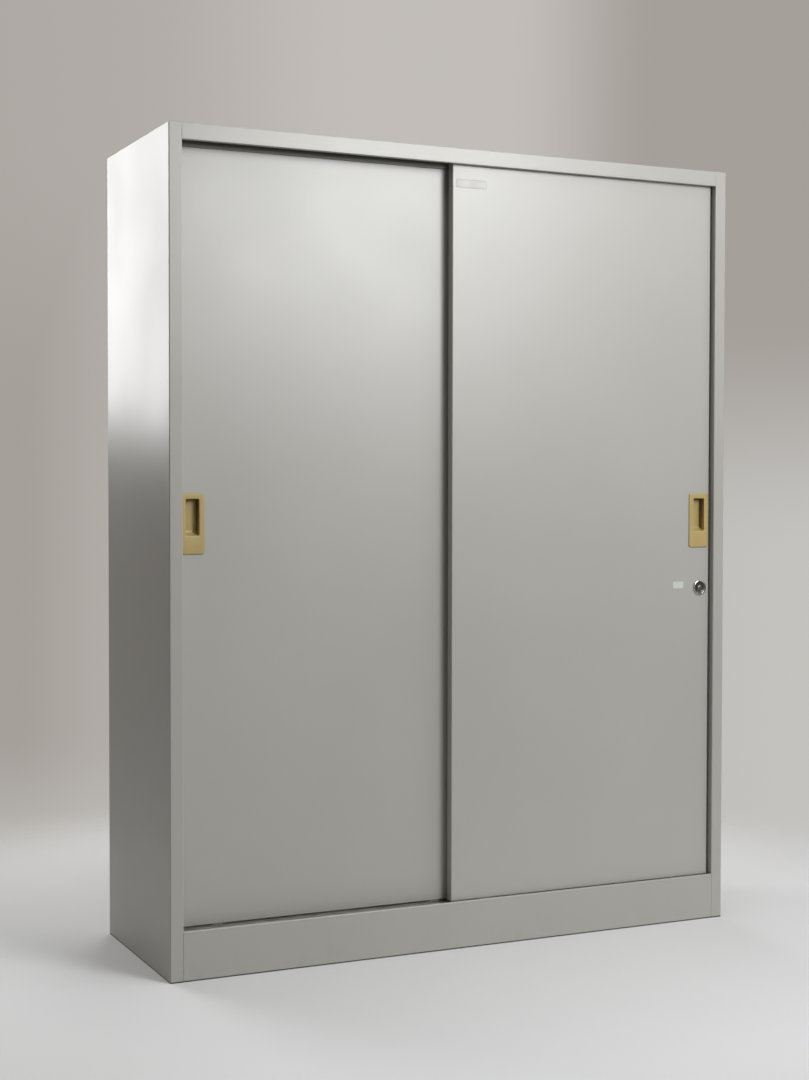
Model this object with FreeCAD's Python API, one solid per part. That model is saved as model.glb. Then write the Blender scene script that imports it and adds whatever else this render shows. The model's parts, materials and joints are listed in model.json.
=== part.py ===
"""Steel cabinet with two sliding doors, shelves and a hook-bolt lock.

Millimetres.  +Z is up, the doors face -Y and +X is to the right, seen from the
front.  The origin is on the floor, under the middle of the cabinet.
"""
import FreeCAD, Part
import math
import os

Vector = FreeCAD.Vector

# ---------------------------------------------------------------- driving sizes
WIDTH = 1200.0
DEPTH = 400.0
HEIGHT = 1550.0

SHEET = 1.0                # carcass sheet
BEND = 1.8                 # outer radius of a carcass fold
STILE = 25.0               # width of the side panels' front faces
HEADER = 30.0              # height of the top panel's front face
HEADER_RETURN = 8.0        # fold under the header
BASE = 92.0                # height of the plinth's front face
BASE_LEDGE = 7.0           # flat top of the plinth, in front of the track well
TRACK_WELL = 9.5           # depth of the track well below the plinth's top
FLOOR_RISE = 21.5          # cabinet floor above the track well
FOOT_FLANGE = 18.0         # folds that stand on the floor
REAR_FLANGE = 20.0         # folds round the back panel
WELD_GAP = 0.5             # room left between parts that are pushed together
HEM = 12.0                 # small stiffening folds

BACK_SHEET = 0.8
BEAD_DEPTH = 3.0           # stiffening beads pressed into the back
BEAD_WIDTH = 24.0
BEAD_END = 30.0            # bead ends inside the cabinet floor and the top
BEAD_COUNT = 4

CROSS_MEMBER_WIDTH = 30.0
CROSS_MEMBER_HEIGHT = 20.0
CROSS_MEMBER_SPACING = 400.0

DOOR_OVERLAP = 54.0        # how far the closed doors lie over each other
DOOR_THICKNESS = 18.0
DOOR_SHEET = 0.8
DOOR_BEND = 1.6
DOOR_RETURN = 14.0         # fold round the open back of a door
DOOR_SETBACK = 12.0        # front door's face behind the stiles' faces
DOOR_SPACE = 8.0           # room between the two doors
DOOR_COVER = 14.0          # how far a door's top reaches up behind the header
DOOR_LIFT = 2.5            # room between a door and the tops of the rails
JAMB_GAP = 4.0             # room between a closed door and its jamb
JAMB_COVER = 4.0           # how far the jambs reach back past the rear door

HAT_WIDTH = 24.0           # door stiffeners
HAT_FLANGE = 12.0
HAT_CLEAR = 2.5            # stiffener's crown in front of the door's back
HAT_COUNT = 2
HAT_END = 26.0             # stiffener's ends inside the door's ends

RAIL_SHEET = 1.2           # lower rails
RAIL_HEIGHT = 6.0
RAIL_SIDE = 0.8            # side room between a roller and its rail's walls
RAIL_END = 1.0

ROLLER_RADIUS = 13.0
ROLLER_WIDTH = 8.0
ROLL_GAP = 0.25            # running gap between a roller and its rail
AXLE_RADIUS = 3.0
AXLE_RUN = 0.08            # running gap on the axle
AXLE_END = 0.8             # riveted ends outside the bracket
BRACKET_SHEET = 1.5
BRACKET_LENGTH = 34.0
BRACKET_ROOM = 0.5         # side room between a roller and its bracket
BRACKET_TOP = 3.0          # room over a roller
ROLLER_INSET = 75.0        # roller's centre from a door's edge
WINDOW_ROOM = 2.0          # room round a roller in a door's lower fold

GUIDE_ROOM = 3.5           # room between a door and the upper guide's walls
GUIDE_DROP = 40.0          # rear wall of the upper guide
GUIDE_LIP = 6.0            # middle wall below the header's edge
GUIDE_FLANGE = 13.0
CAP_LENGTH = 46.0          # sliding caps on a door's top
CAP_RISE = 9.0
CAP_SKIRT = 8.0
CAP_RUN = 0.8
CAP_FIT = 0.05
CAP_INSET = 70.0

BUMPER_SIZE = 10.0
BUMPER_GAP = 0.5
BUMPER_END = 26.0          # bumper's centre from a door's top and bottom

POST_WIDTH = 25.0          # shelf posts
POST_TOP = 26.0            # post's end below the top panel
SLOT_WIDTH = 4.0
SLOT_HEIGHT = 14.0
SLOT_PITCH = 75.0
SLOT_START = 30.0          # first slot above the cabinet floor

SHELF_EDGE = 25.0
SHELF_BEND = 1.8
SHELF_END_ROOM = 2.0       # room between a shelf and a post
SHELF_FRONT = 4.0          # shelf's front behind the jambs' backs
SHELF_REAR = 5.0           # shelf's rear in front of the back panel
SHELF_SLOTS = (4, 9, 14)   # post slots that carry the lower, middle and upper shelf
SHELF_HAT = 40.0
CLIP_SHEET = 1.5
CLIP_WIDTH = 16.0
CLIP_LEDGE = 12.0
CLIP_RISE = 10.0           # hook above the ledge
CLIP_HOOK = 3.5
CLIP_HOOK_DROP = 5.0
CLIP_HOOK_WIDTH = 3.0

PULL_WIDTH = 47.0
PULL_HEIGHT = 111.0
PULL_PROUD = 2.2
PULL_CORNER = 5.5
PULL_EDGE = 1.0
PULL_INSET = 2.5           # plate's outer side from the door's edge
PULL_CENTRE = 830.5        # height of the pulls' centres
POCKET_WIDTH = 26.0
POCKET_HEIGHT = 67.0
POCKET_TOP = 10.0          # pocket below the plate's top
POCKET_DEPTH = 12.6        # floor behind the door's face
POCKET_DRAFT = 1.0
POCKET_SCOOP = 11.0        # slope of the pocket's lower end
PULL_WALL = 1.6
PULL_FIT = 0.3             # room round the cup in the door's cut-out
PULL_SNAP = 0.9            # snap noses on the cup
PULL_SNAP_HEIGHT = 10.0

LOCK_DROP = 84.0           # lock's centre below the pull's plate
LOCK_INSET = 22.0          # lock's centre from the door's edge
BEZEL_RADIUS = 16.0
BEZEL_PROUD = 2.8
BEZEL_DISH = 1.6
BARREL_RADIUS = 11.0
BARREL_LENGTH = 12.0
BARREL_FIT = 0.05
PLUG_RADIUS = 7.5
PLUG_RUN = 0.1
PLUG_TAIL = 0.5            # plug's end behind the barrel
KEYWAY_WIDTH = 1.8
KEYWAY_HEIGHT = 7.0
KEYWAY_DEPTH = 6.0
NUT_FLATS = 27.0
NUT_THICKNESS = 3.0
HOOK_SHEET = 2.5
HOOK_ARM = 7.5             # half width of the hook's hub and arm
HOOK_TOP = 4.5
HOOK_REACH = 35.5
HOOK_NOSE = 6.0            # thickness of the nose
HOOK_RISE = 12.0           # nose above the hook's centre line
HOOK_ROOM = 1.0            # room round the hook in its slots
HOOK_SCREW_FLATS = 8.0
HOOK_SCREW_HEAD = 1.2

STRIKE_SHEET = 1.0
STRIKE_WIDTH = 16.0
STRIKE_LENGTH = 56.0

# ---------------------------------------------------------------- derived places
RIGHT = WIDTH / 2
LEFT = -RIGHT
FRONT = -DEPTH / 2
REAR = DEPTH / 2
JAMB = RIGHT - STILE                                   # inner face of the right jamb

front_door_y = FRONT + DOOR_SETBACK
rear_door_y = front_door_y + DOOR_THICKNESS + DOOR_SPACE
jamb_back = rear_door_y + DOOR_THICKNESS + JAMB_COVER
fold_room = BEND - SHEET                              # keeps edges out of a fold's inner radius
header_bottom = HEIGHT - HEADER
under_top = HEIGHT - SHEET
door_top = header_bottom + DOOR_COVER
well_top = BASE - TRACK_WELL
door_bottom = well_top + RAIL_HEIGHT + DOOR_LIFT       # just below the plinth's top
floor_top = well_top + FLOOR_RISE + SHEET
rolling_radius = ROLLER_RADIUS + ROLL_GAP
roller_z = well_top + RAIL_SHEET + rolling_radius
back_front = REAR - SHEET - BACK_SHEET                 # back panel's inner face
door_width = JAMB - JAMB_GAP + DOOR_OVERLAP / 2
travel = 2 * (JAMB - JAMB_GAP) - door_width            # stroke of each door
left_door_x = -JAMB + JAMB_GAP                         # doors' left edges when closed
right_door_x = JAMB - JAMB_GAP - door_width
cup_end = POCKET_DEPTH + PULL_WALL
cup_width = POCKET_WIDTH + 2 * PULL_WALL
cup_height = POCKET_HEIGHT + 2 * PULL_WALL
cup_centre = PULL_CENTRE + PULL_HEIGHT / 2 - POCKET_TOP - POCKET_HEIGHT / 2
left_pull_x = left_door_x + PULL_INSET + PULL_WIDTH / 2
right_pull_x = right_door_x + door_width - PULL_INSET - PULL_WIDTH / 2
lock_x = right_door_x + door_width - LOCK_INSET
plug_end = front_door_y + BARREL_LENGTH + PLUG_TAIL
lock_z = PULL_CENTRE - PULL_HEIGHT / 2 - LOCK_DROP
slot_low = lock_z - math.hypot(HOOK_REACH, HOOK_RISE)
slot_high = lock_z + HOOK_TOP + HOOK_ROOM
front_post_y = jamb_back + POST_WIDTH / 2
rear_post_y = back_front - POST_WIDTH / 2
post_face = JAMB
shelf_half = post_face - SHELF_END_ROOM


# ---------------------------------------------------------------- shape helpers
def place(plane, u, v, w):
    """Turn section coordinates (u, v) at distance w into a point in space."""
    if plane == "plan":
        return Vector(u, v, w)
    if plane == "side":
        return Vector(w, u, v)
    return Vector(u, w, v)


def outline(plane, corners, w):
    """Make a flat face from corners (u, v, radius), each rounded by its radius."""
    marks = []
    for index, (u, v, radius) in enumerate(corners):
        before = corners[index - 1]
        after = corners[(index + 1) % len(corners)]
        here = Vector(u, v, 0)
        back = (Vector(before[0], before[1], 0) - here).normalize()
        ahead = (Vector(after[0], after[1], 0) - here).normalize()
        if radius <= 0:
            marks.append((here, None, here))
            continue
        half = back.getAngle(ahead) / 2
        reach = radius / math.tan(half)
        middle = here + (back + ahead).normalize() * (radius / math.sin(half) - radius)
        marks.append((here + back * reach, middle, here + ahead * reach))
    edges = []
    for index, (start, middle, end) in enumerate(marks):
        previous = marks[index - 1][2]
        if (start - previous).Length > 1e-6:
            edges.append(Part.LineSegment(place(plane, previous.x, previous.y, w),
                                          place(plane, start.x, start.y, w)).toShape())
        if middle is not None:
            arc = [place(plane, point.x, point.y, w) for point in (start, middle, end)]
            edges.append(Part.Arc(*arc).toShape())
    return Part.Face(Part.Wire(edges))


def prism(plane, corners, start, end):
    """Push an outline through space, from one distance to another."""
    return outline(plane, corners, start).extrude(place(plane, 0, 0, end - start))


def folded(plane, path, sheet, bend, start, end):
    """Fold a strip along a path, with its metal on the right of the walk.

    A path point may carry its own bend as a third value.  A bend of zero is crisp.
    """
    points = [Vector(point[0], point[1], 0) for point in path]
    bends = [point[2] if len(point) > 2 else bend for point in path]
    walks = [(b - a).normalize() for a, b in zip(points, points[1:])]
    sides = [Vector(walk.y, -walk.x, 0) for walk in walks]
    last = len(points) - 1
    near = []
    far = []
    for index, point in enumerate(points):
        if index in (0, last):
            side = sides[min(index, last - 1)]
            near.append((point.x, point.y, 0))
            shifted = point + side * sheet
            far.append((shifted.x, shifted.y, 0))
            continue
        before, after = sides[index - 1], sides[index]
        turn = walks[index - 1].cross(walks[index]).z
        shifted = point + (before + after) * (sheet / (1 + before.dot(after)))
        outer = bends[index]
        inner = max(outer - sheet, 0)
        near.append((point.x, point.y, outer if turn < 0 else inner))
        far.append((shifted.x, shifted.y, inner if turn < 0 else outer))
    return prism(plane, near + far[::-1], start, end)


def block(low, high):
    """Make a box from its two opposite corners."""
    size = [b - a for a, b in zip(low, high)]
    return Part.makeBox(size[0], size[1], size[2], Vector(*low))


def rod(radius, start, end):
    """Make a round bar from one point to another."""
    axis = Vector(*end) - Vector(*start)
    return Part.makeCylinder(radius, axis.Length, Vector(*start), axis)


def turned(profile, centre_x, centre_z):
    """Turn a profile of (y, radius) points about an axis that runs front to back."""
    points = [Vector(centre_x, y, centre_z + radius) for y, radius in profile]
    face = Part.Face(Part.makePolygon(points + points[:1]))
    return face.revolve(Vector(centre_x, 0, centre_z), Vector(0, 1, 0), 360)


def mirrored(shape):
    """Copy a left-hand shape to the right-hand side."""
    return shape.mirror(Vector(0, 0, 0), Vector(1, 0, 0))


def frame_corners(centre_u, centre_v, width, height, radius):
    """Give the corners of an upright rectangle with rounded corners."""
    half_u, half_v = width / 2, height / 2
    return [(centre_u - half_u, centre_v - half_v, radius),
            (centre_u + half_u, centre_v - half_v, radius),
            (centre_u + half_u, centre_v + half_v, radius),
            (centre_u - half_u, centre_v + half_v, radius)]


# ---------------------------------------------------------------- carcass
def side_panel():
    """Left side panel: jamb, stile, side and rear flange folded from one sheet."""
    path = [(LEFT + SHEET + WELD_GAP, jamb_back),
            (-JAMB, jamb_back, 0),
            (-JAMB, FRONT),
            (LEFT, FRONT),
            (LEFT, REAR),
            (LEFT + REAR_FLANGE, REAR)]
    panel = folded("plan", path, SHEET, BEND, 0, HEIGHT)
    seat = block((LEFT + SHEET, FRONT + SHEET, under_top),
                 (-JAMB + SHEET, REAR - SHEET, HEIGHT + SHEET))
    return panel.cut(seat)


def hook_slot(low_x, high_x):
    """Cutter for the slots that the lock's hook swings through."""
    return block((low_x, plug_end - HOOK_ROOM, slot_low - HOOK_ROOM),
                 (high_x, plug_end + HOOK_SHEET + HOOK_ROOM, slot_high))


def right_side_panel():
    """Right side panel, with the slot that the lock's hook enters."""
    return mirrored(side_panel()).cut(hook_slot(JAMB - SHEET, JAMB + 2 * SHEET))


def top_panel():
    """Top panel with the header folded down in front and flanges down elsewhere."""
    inside = RIGHT - SHEET
    path = [(FRONT + HEADER_RETURN, header_bottom),
            (FRONT, header_bottom),
            (FRONT, HEIGHT),
            (REAR, HEIGHT),
            (REAR, HEIGHT - REAR_FLANGE)]
    panel = folded("side", path, SHEET, BEND, -inside, inside)
    for sign in (-1, 1):
        outer = sign * (inside + SHEET)
        header_end = block((min(sign * JAMB, outer), FRONT - SHEET, header_bottom - SHEET),
                           (max(sign * JAMB, outer), FRONT + SHEET, HEIGHT + SHEET))
        return_end = block((min(sign * JAMB, outer), FRONT - SHEET, header_bottom - SHEET),
                           (max(sign * JAMB, outer), jamb_back, under_top))
        flange_x = sign * (RIGHT - REAR_FLANGE)
        flange_end = block((min(flange_x, outer), REAR - BEND, HEIGHT - REAR_FLANGE - SHEET),
                           (max(flange_x, outer), REAR + SHEET, HEIGHT + SHEET))
        panel = panel.cut(header_end).cut(return_end).cut(flange_end)
        side_flange = block((min(sign * inside, sign * (inside - SHEET)), jamb_back, under_top - REAR_FLANGE),
                            (max(sign * inside, sign * (inside - SHEET)), back_front, under_top))
        panel = panel.fuse(side_flange)
    return panel.removeSplitter()


def bead_core(centre_x, shift):
    """Tapered core of one pressed bead, moved back by a distance."""
    low = floor_top + HEM + BEAD_END
    high = under_top - REAR_FLANGE - BEAD_END
    taper = BEAD_WIDTH / 2
    base = frame_corners(centre_x, (low + high) / 2, BEAD_WIDTH, high - low, 0)
    crown = frame_corners(centre_x, (low + high) / 2, BEAD_WIDTH - taper, high - low - taper, 0)
    sections = [outline("front", base, back_front + shift).OuterWire,
                outline("front", crown, back_front + shift - BEAD_DEPTH).OuterWire]
    return Part.makeLoft(sections, True, True)


def back_panel():
    """Back sheet with shallow upright stiffening beads pressed into it."""
    inside = RIGHT - SHEET - fold_room
    panel = block((-inside, back_front, 0), (inside, back_front + BACK_SHEET, under_top - fold_room))
    for index in range(BEAD_COUNT):
        centre_x = -inside + 2 * inside * (index + 1) / (BEAD_COUNT + 1)
        panel = panel.fuse(bead_core(centre_x, 0)).cut(bead_core(centre_x, BACK_SHEET))
    return panel.removeSplitter()


def front_base():
    """Plinth: foot flange, front face, ledge and the fold that holds the track plate."""
    path = [(FRONT + FOOT_FLANGE, 0),
            (FRONT, 0),
            (FRONT, BASE),
            (FRONT + BASE_LEDGE, BASE),
            (FRONT + BASE_LEDGE, well_top - SHEET)]
    return folded("side", path, SHEET, BEND, -JAMB, JAMB)


def track_plate():
    """Flat plate between the plinth and the cabinet floor, under both rails."""
    return block((-JAMB, FRONT + BASE_LEDGE, well_top - SHEET), (JAMB, jamb_back, well_top))


def rear_base():
    """Rear plinth channel, between the back panel and the cabinet floor."""
    path = [(back_front - REAR_FLANGE, floor_top - SHEET),
            (back_front, floor_top - SHEET),
            (back_front, 0),
            (back_front - FOOT_FLANGE, 0)]
    return folded("side", path, SHEET, 0, LEFT + SHEET, RIGHT - SHEET)


def bottom_panel():
    """Cabinet floor, folded down onto the track plate and up against the back."""
    inside = RIGHT - SHEET
    nose = jamb_back - SHEET
    path = [(nose, well_top),
            (nose, floor_top),
            (back_front - SHEET, floor_top, 0),
            (back_front - SHEET, floor_top + HEM)]
    panel = folded("side", path, SHEET, BEND, -inside, inside)
    for near_x, far_x in ((-RIGHT, -JAMB), (JAMB, RIGHT)):
        jamb_corner = block((near_x, nose - SHEET, well_top - SHEET), (far_x, jamb_back, floor_top + SHEET))
        post_corner = block((near_x, back_front - POST_WIDTH, floor_top), (far_x, REAR, floor_top + 2 * HEM))
        panel = panel.cut(jamb_corner).cut(post_corner)
    return panel


def cross_members():
    """Two hat sections that carry the cabinet floor from front to back."""
    top = floor_top - SHEET
    half = CROSS_MEMBER_WIDTH / 2
    solids = []
    for centre in (-CROSS_MEMBER_SPACING / 2, CROSS_MEMBER_SPACING / 2):
        path = [(centre - half - HEM, top),
                (centre - half, top),
                (centre - half, top - CROSS_MEMBER_HEIGHT),
                (centre + half, top - CROSS_MEMBER_HEIGHT),
                (centre + half, top),
                (centre + half + HEM, top)]
        solids.append(folded("front", path, SHEET, 0, jamb_back + SHEET, back_front - REAR_FLANGE))
    return solids


def shelf_post(centre_y):
    """Left-hand slotted shelf post, a channel with its open side to the side panel."""
    half = POST_WIDTH / 2
    path = [(LEFT + SHEET, centre_y + half),
            (-post_face, centre_y + half),
            (-post_face, centre_y - half),
            (LEFT + SHEET, centre_y - half)]
    top = under_top - POST_TOP
    post = folded("plan", path, SHEET, 0, floor_top, top)
    slots = []
    height = floor_top + SLOT_START
    while height + SLOT_PITCH / 2 < top:
        slots.append(block((-post_face - 2 * SHEET, centre_y - SLOT_WIDTH / 2, height - SLOT_HEIGHT / 2),
                           (-post_face + SHEET, centre_y + SLOT_WIDTH / 2, height + SLOT_HEIGHT / 2)))
        height += SLOT_PITCH
    return post.cut(Part.makeCompound(slots))


def slot_height(index):
    """Height of a numbered slot's centre in the shelf posts."""
    return floor_top + SLOT_START + SLOT_PITCH * index


def shelf_bottom(index):
    """Height of the underside of the shelf that hangs on a numbered slot."""
    return slot_height(index) - CLIP_RISE


def shelf(index):
    """Shelf tray with folded edges and a stiffener under its middle."""
    front = jamb_back + SHELF_FRONT
    rear = back_front - SHELF_REAR
    bottom = shelf_bottom(index)
    top = bottom + SHELF_EDGE
    path = [(front + HEM, bottom),
            (front, bottom, 0),
            (front, top),
            (rear, top, 0),
            (rear, bottom, 0),
            (rear - HEM, bottom)]
    tray = folded("side", path, SHEET, SHELF_BEND, -shelf_half, shelf_half)
    for low_x in (-shelf_half, shelf_half - SHEET):
        cheek = block((low_x, front + SHEET, bottom), (low_x + SHEET, rear - SHEET, top - SHEET))
        tray = tray.fuse(cheek)
    middle = (front + rear) / 2
    under = top - SHEET
    path = [(middle - SHELF_HAT / 2 - HEM, under),
            (middle - SHELF_HAT / 2, under),
            (middle - SHELF_HAT / 2, under - SHELF_EDGE / 2),
            (middle + SHELF_HAT / 2, under - SHELF_EDGE / 2),
            (middle + SHELF_HAT / 2, under),
            (middle + SHELF_HAT / 2 + HEM, under)]
    end = shelf_half - SHEET
    return [tray.removeSplitter(), folded("side", path, SHEET, 0, -end, end)]


def shelf_clip(centre_y, index):
    """Left-hand shelf clip: a ledge with a hook that drops into a post's slot."""
    hook = slot_height(index)
    ledge = shelf_bottom(index)
    face = -post_face
    seat = prism("front", [(face, ledge - CLIP_SHEET, 0),
                           (face + CLIP_LEDGE, ledge - CLIP_SHEET, 0),
                           (face + CLIP_LEDGE, ledge, 0),
                           (face + CLIP_SHEET, ledge, 0),
                           (face + CLIP_SHEET, hook + CLIP_HOOK_DROP, 0),
                           (face, hook + CLIP_HOOK_DROP, 0)],
                 centre_y - CLIP_WIDTH / 2, centre_y + CLIP_WIDTH / 2)
    tip = face - SHEET - CLIP_HOOK / 2
    nose = prism("front", [(face, hook, 0),
                           (face, hook + CLIP_HOOK, 0),
                           (tip - CLIP_SHEET, hook + CLIP_HOOK, 0),
                           (tip - CLIP_SHEET, hook - CLIP_HOOK_DROP, 0),
                           (tip, hook - CLIP_HOOK_DROP, 0),
                           (tip, hook, 0)],
                 centre_y - CLIP_HOOK_WIDTH / 2, centre_y + CLIP_HOOK_WIDTH / 2)
    return seat.fuse(nose)


def shelf_clips():
    """Four clips for each shelf."""
    solids = []
    for index in SHELF_SLOTS:
        for centre_y in (front_post_y, rear_post_y):
            clip = shelf_clip(centre_y, index)
            solids += [clip, mirrored(clip)]
    return solids


# ---------------------------------------------------------------- tracks
def track_rail(centre_y):
    """Lower rail: a channel in which the rollers of one door run."""
    half = ROLLER_WIDTH / 2 + RAIL_SIDE + RAIL_SHEET
    path = [(centre_y + half, well_top + RAIL_HEIGHT),
            (centre_y + half, well_top),
            (centre_y - half, well_top),
            (centre_y - half, well_top + RAIL_HEIGHT)]
    return folded("side", path, RAIL_SHEET, 0, -JAMB + RAIL_END, JAMB - RAIL_END)


def upper_guide():
    """Upper guide channel that holds the tops of both doors upright."""
    rear_wall = rear_door_y + DOOR_THICKNESS + GUIDE_ROOM
    front_wall = front_door_y - GUIDE_ROOM
    path = [(rear_wall, under_top - GUIDE_DROP),
            (rear_wall, under_top - SHEET),
            (front_wall, under_top - SHEET),
            (front_wall, header_bottom + SHEET)]
    return folded("side", path, SHEET, 0, -JAMB, JAMB)


def centre_guide():
    """Middle wall of the upper guide, an angle that hangs between the doors."""
    wall = rear_door_y - DOOR_SPACE / 2 - SHEET / 2
    path = [(wall, header_bottom - GUIDE_LIP),
            (wall, under_top - SHEET),
            (wall + GUIDE_FLANGE, under_top - SHEET)]
    return folded("side", path, SHEET, 0, -JAMB, JAMB)


def jamb_bumpers():
    """Rubber pads on both jambs, where the doors' edges come to rest."""
    half = BUMPER_SIZE / 2
    thickness = JAMB_GAP - BUMPER_GAP
    solids = []
    for door_y in (front_door_y, rear_door_y):
        y = door_y + DOOR_THICKNESS / 2
        for z in (door_bottom + BUMPER_END, door_top - BUMPER_END):
            pad = block((-JAMB, y - half, z - half), (-JAMB + thickness, y + half, z + half))
            solids += [pad, mirrored(pad)]
    return solids


# ---------------------------------------------------------------- doors
def pressed_box(low, high, radius):
    """Make a box with the four edges of its front face rounded."""
    box = block(low, high)
    front_edges = [edge for edge in box.Edges if edge.BoundBox.YMax - low[1] < DOOR_SHEET / 2]
    return box.makeFillet(radius, front_edges)


def roller_places(door_x):
    """Centres of a door's two rollers, along its width."""
    return [door_x + ROLLER_INSET, door_x + door_width - ROLLER_INSET]


def door_pan(door_x, door_y, pull_x):
    """Door skin: face, edges and rear returns, with its cut-outs."""
    far_x = door_x + door_width
    far_y = door_y + DOOR_THICKNESS
    pan = pressed_box((door_x, door_y, door_bottom), (far_x, far_y, door_top), DOOR_BEND)
    hollow = pressed_box((door_x + DOOR_SHEET, door_y + DOOR_SHEET, door_bottom + DOOR_SHEET),
                         (far_x - DOOR_SHEET, far_y - DOOR_SHEET, door_top - DOOR_SHEET),
                         DOOR_BEND - DOOR_SHEET)
    back = block((door_x + DOOR_RETURN, door_y + DOOR_THICKNESS / 2, door_bottom + DOOR_RETURN),
                 (far_x - DOOR_RETURN, far_y + DOOR_SHEET, door_top - DOOR_RETURN))
    pan = pan.cut(hollow).cut(back)
    middle_y = door_y + DOOR_THICKNESS / 2
    half_x = ROLLER_RADIUS + WINDOW_ROOM
    half_y = ROLLER_WIDTH / 2 + BRACKET_ROOM
    for x in roller_places(door_x):
        pan = pan.cut(block((x - half_x, middle_y - half_y, door_bottom - DOOR_SHEET),
                            (x + half_x, middle_y + half_y, door_bottom + 2 * DOOR_SHEET)))
    opening = frame_corners(pull_x, cup_centre, cup_width + 2 * PULL_FIT, cup_height + 2 * PULL_FIT, 0)
    return pan.cut(prism("front", opening, door_y - DOOR_SHEET, door_y + 2 * DOOR_SHEET))


def right_door_pan():
    """Front door's skin, with the holes for the lock and its hook."""
    edge = right_door_x + door_width
    pan = door_pan(right_door_x, front_door_y, right_pull_x)
    pan = pan.cut(rod(BARREL_RADIUS + BARREL_FIT, (lock_x, front_door_y - DOOR_SHEET, lock_z),
                      (lock_x, front_door_y + 2 * DOOR_SHEET, lock_z)))
    return pan.cut(hook_slot(edge - 2 * DOOR_SHEET, edge + DOOR_SHEET))


def door_stiffeners(door_x, door_y):
    """Upright hat sections behind a door's face."""
    flange = door_y + 2 * DOOR_SHEET
    crown = door_y + DOOR_THICKNESS - HAT_CLEAR
    half = HAT_WIDTH / 2
    solids = []
    for index in range(HAT_COUNT):
        x = door_x + door_width * (index + 1) / (HAT_COUNT + 1)
        path = [(x - half - HAT_FLANGE, flange),
                (x - half, flange),
                (x - half, crown),
                (x + half, crown),
                (x + half, flange),
                (x + half + HAT_FLANGE, flange)]
        solids.append(folded("plan", path, DOOR_SHEET, 0, door_bottom + HAT_END, door_top - HAT_END))
    return solids


def roller(centre_x, door_y):
    """Nylon roller."""
    y = door_y + DOOR_THICKNESS / 2
    half = ROLLER_WIDTH / 2
    profile = [(y - half, AXLE_RADIUS + AXLE_RUN),
               (y - half, ROLLER_RADIUS),
               (y + half, ROLLER_RADIUS),
               (y + half, AXLE_RADIUS + AXLE_RUN)]
    return turned(profile, centre_x, roller_z)


def roller_brackets(door_x, door_y):
    """Channel brackets that stand on a door's lower fold and hold the axles."""
    y = door_y + DOOR_THICKNESS / 2
    inside = ROLLER_WIDTH / 2 + BRACKET_ROOM
    foot = door_bottom + DOOR_SHEET
    top = roller_z + ROLLER_RADIUS + BRACKET_TOP
    path = [(y + inside, foot), (y + inside, top), (y - inside, top), (y - inside, foot)]
    solids = []
    for x in roller_places(door_x):
        bracket = folded("side", path, BRACKET_SHEET, 0, x - BRACKET_LENGTH / 2, x + BRACKET_LENGTH / 2)
        solids.append(bracket.cut(rod(AXLE_RADIUS, (x, y - DOOR_THICKNESS, roller_z),
                                      (x, y + DOOR_THICKNESS, roller_z))))
    return solids


def roller_axles(door_x, door_y):
    """Axle pins, riveted over outside the brackets."""
    y = door_y + DOOR_THICKNESS / 2
    reach = ROLLER_WIDTH / 2 + BRACKET_ROOM + BRACKET_SHEET + AXLE_END
    return [rod(AXLE_RADIUS, (x, y - reach, roller_z), (x, y + reach, roller_z))
            for x in roller_places(door_x)]


def top_caps(door_x, door_y):
    """Sliding caps that straddle a door's top and run in the upper guide."""
    y = door_y + DOOR_THICKNESS / 2
    inner = DOOR_THICKNESS / 2 + CAP_FIT
    outer = DOOR_THICKNESS / 2 + GUIDE_ROOM - CAP_RUN
    corners = [(y - outer, door_top - CAP_SKIRT, 0),
               (y - inner, door_top - CAP_SKIRT, 0),
               (y - inner, door_top, 0),
               (y + inner, door_top, 0),
               (y + inner, door_top - CAP_SKIRT, 0),
               (y + outer, door_top - CAP_SKIRT, 0),
               (y + outer, door_top + CAP_RISE, 0),
               (y - outer, door_top + CAP_RISE, 0)]
    return [prism("side", corners, x - CAP_LENGTH / 2, x + CAP_LENGTH / 2)
            for x in (door_x + CAP_INSET, door_x + door_width - CAP_INSET)]


def door_pull(centre_x, door_y):
    """Moulded recessed pull: face plate, finger cup and snap noses."""
    plate_face = door_y - PULL_PROUD
    plate = prism("front", frame_corners(centre_x, PULL_CENTRE, PULL_WIDTH, PULL_HEIGHT, PULL_CORNER),
                  plate_face, door_y)
    rim = [edge for edge in plate.Edges if abs(edge.BoundBox.YMax - plate_face) < 0.01]
    plate = plate.makeChamfer(PULL_EDGE, rim)
    cup = prism("front", frame_corners(centre_x, cup_centre, cup_width, cup_height, 0),
                door_y, door_y + cup_end)
    mouth = frame_corners(centre_x, cup_centre, POCKET_WIDTH, POCKET_HEIGHT, 0)
    floor_height = POCKET_HEIGHT - POCKET_DRAFT - POCKET_SCOOP
    floor_centre = cup_centre + (POCKET_SCOOP - POCKET_DRAFT) / 2
    floor = frame_corners(centre_x, floor_centre, POCKET_WIDTH - 2 * POCKET_DRAFT, floor_height, 0)
    sections = [outline("front", mouth, plate_face - PULL_WALL).OuterWire,
                outline("front", floor, door_y + POCKET_DEPTH).OuterWire]
    pull = plate.fuse(cup).cut(Part.makeLoft(sections, True, True))
    behind = door_y + DOOR_SHEET + PULL_FIT
    for sign in (-1, 1):
        side = centre_x + sign * cup_width / 2
        nose = prism("plan", [(side - sign * PULL_WALL / 2, behind, 0),
                              (side + sign * PULL_SNAP, behind, 0),
                              (side, behind + 4 * PULL_SNAP, 0),
                              (side - sign * PULL_WALL / 2, behind + 4 * PULL_SNAP, 0)],
                     cup_centre - PULL_SNAP_HEIGHT / 2, cup_centre + PULL_SNAP_HEIGHT / 2)
        pull = pull.fuse(nose)
    return pull.removeSplitter()


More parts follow.
